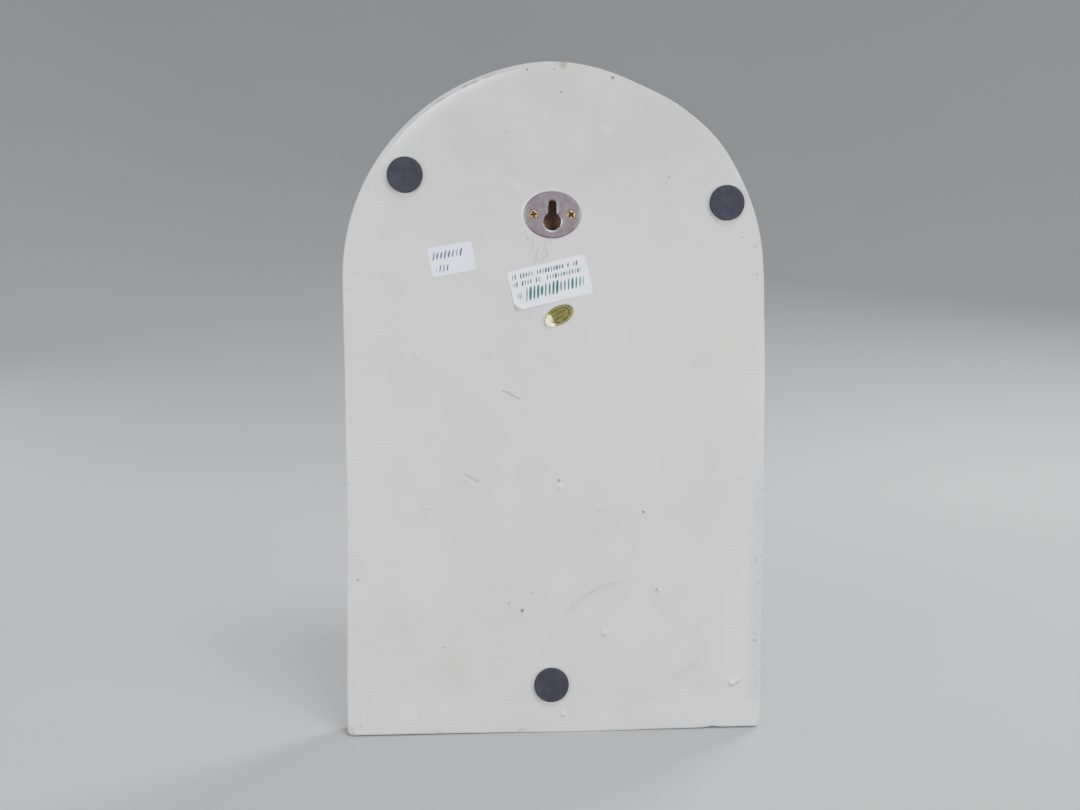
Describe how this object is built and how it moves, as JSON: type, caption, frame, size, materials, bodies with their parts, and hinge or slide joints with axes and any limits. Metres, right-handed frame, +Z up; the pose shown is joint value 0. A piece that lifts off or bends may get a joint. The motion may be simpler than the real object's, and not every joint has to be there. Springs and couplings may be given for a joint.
{
  "type": "decorative wall plaque",
  "caption": "Arched cast wall plaque with a moulded rim, scallop shell and laurel wreath in low relief, hung by a keyhole plate let into its padded back",
  "frame": {"origin": "on the outer face of the keyhole plate, on the bridge of steel just above the slot, where the wall screw holds the plaque", "axes": "+Z up as it hangs, +Y out of the back towards the wall, so the decorated front faces -Y, and +X to the right as seen from the front"},
  "size_m": [0.2392, 0.025, 0.3788],
  "materials": {
    "painted_cast_resin": "satin",
    "plate_steel": "satin",
    "screw_brass": "satin",
    "charcoal_felt": "matte",
    "label_paper": "matte",
    "sticker_paper": "matte",
    "gold_foil": "polished"
  },
  "bodies": {
    "root": {"plaque_body": "painted_cast_resin", "keyhole_plate": "plate_steel", "plate_screw_left": "screw_brass", "plate_screw_right": "screw_brass", "felt_pad_left": "charcoal_felt", "felt_pad_right": "charcoal_felt", "felt_pad_bottom": "charcoal_felt", "paper_label": "label_paper", "stock_sticker": "sticker_paper", "foil_seal": "gold_foil"}
  },
  "joints": []
}
